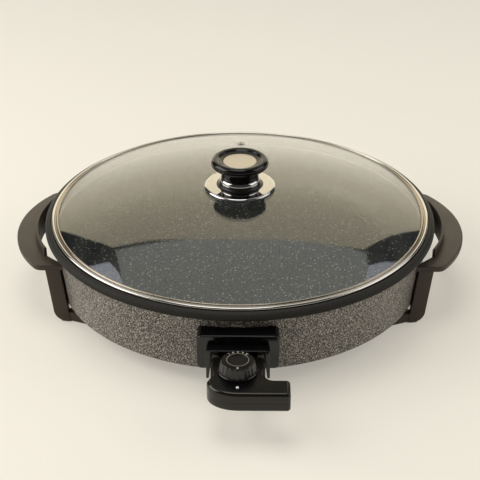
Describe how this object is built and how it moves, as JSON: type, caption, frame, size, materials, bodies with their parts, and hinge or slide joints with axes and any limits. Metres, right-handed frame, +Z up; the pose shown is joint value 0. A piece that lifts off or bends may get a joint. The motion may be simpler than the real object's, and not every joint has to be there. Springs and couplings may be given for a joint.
{
  "type": "electric skillet",
  "caption": "Round electric skillet with a cast pan on side handle-and-leg mouldings, a lift-off domed glass lid with a knob, and a plug-in thermostat controller with a dial.",
  "frame": {"origin": "on the table, under the middle of the whole appliance's bounding box with the controller plugged in; the pan's axis stands at x 0, y 0.04139", "axes": "+X to the right, +Y to the back, away from the controller, +Z up"},
  "size_m": [0.4842, 0.5028, 0.1532],
  "materials": {
    "pan_coating": "cast aluminium with a dark textured coating outside and a speckled non-stick coating inside",
    "sheath": "drawn steel tube",
    "plated_pin": "nickel plated",
    "ceramic": "off-white ceramic",
    "gloss_black": "glossy black phenolic",
    "dial_black": "satin black phenolic",
    "handle_black": "matte dark phenolic",
    "steel": "zinc plated steel",
    "lid_glass": "tempered clear glass",
    "rim_steel": "polished stainless steel",
    "chrome_plate": "mirror chrome",
    "gasket": "dark silicone rubber",
    "brass": "plain brass",
    "brushed_disc": "brushed pale aluminium",
    "brown_resin": "dark moulded resin",
    "white_lens": "translucent white",
    "lamp_glass": "clear glass bulb"
  },
  "bodies": {
    "skillet": {"pan": "pan_coating", "heating_element": "sheath", "terminal_pins": "plated_pin", "terminal_beads": "ceramic", "socket_shroud": "gloss_black", "shroud_screws": "steel", "left_handle": "handle_black", "right_handle": "handle_black", "handle_screws": "steel"},
    "lid": {"lid_glass": "lid_glass", "lid_rim": "rim_steel", "vent_eyelet": "rim_steel", "knob_plate": "chrome_plate", "upper_gasket": "gasket", "lower_gasket": "gasket", "knob_washer": "steel", "knob_screw": "steel", "knob": "gloss_black", "knob_insert": "brass", "knob_disc": "brushed_disc"},
    "controller": {"upper_shell": "gloss_black", "lower_shell": "gloss_black", "shell_screws": "steel", "cord_bushing": "gasket", "probe_tube": "sheath", "bimetal_strip": "brass", "push_post": "ceramic", "thermostat_frame": "steel", "spindle_bushing": "brass", "line_receptacle": "brass", "neutral_receptacle": "brass", "receptacle_block": "brown_resin", "lower_leaf": "brass", "contact_spring": "brass", "leaf_spacers": "ceramic", "leaf_rivet": "steel", "pilot_lens": "white_lens", "pilot_lamp": "lamp_glass"},
    "contact": {"contact_arm": "brass"},
    "adjuster": {"adjuster_plunger": "ceramic"},
    "dial": {"dial_knob": "dial_black", "dial_cap": "dial_black", "dial_spindle": "steel"}
  },
  "joints": [
    {"name": "lid_lift", "type": "slide", "parent": "skillet", "child": "lid", "axis": [0, 0, 1], "range_m": [0, 0.15]},
    {"name": "controller_unplug", "type": "slide", "parent": "skillet", "child": "controller", "axis": [0, -1, 0], "range_m": [0, 0.06]},
    {"name": "dial_turn", "type": "hinge", "parent": "controller", "child": "dial", "pos_m": [0, -0.21539, 0.0583], "axis": [0, 0, -1], "range_deg": [0, 280]},
    {"name": "adjuster_press", "type": "slide", "parent": "controller", "child": "adjuster", "axis": [0, 0, -1], "range_m": [0, 0.00035]},
    {"name": "contact_press", "type": "hinge", "parent": "controller", "child": "contact", "pos_m": [0, -0.22639, 0.0503], "axis": [-1, 0, 0], "range_deg": [0, 1.8]}
  ],
  "couplings": [
    {"joint": "adjuster_press", "follows": "dial_turn", "m_per_rad": 0.000071},
    {"joint": "contact_press", "follows": "dial_turn", "ratio": 0.0064}
  ]
}
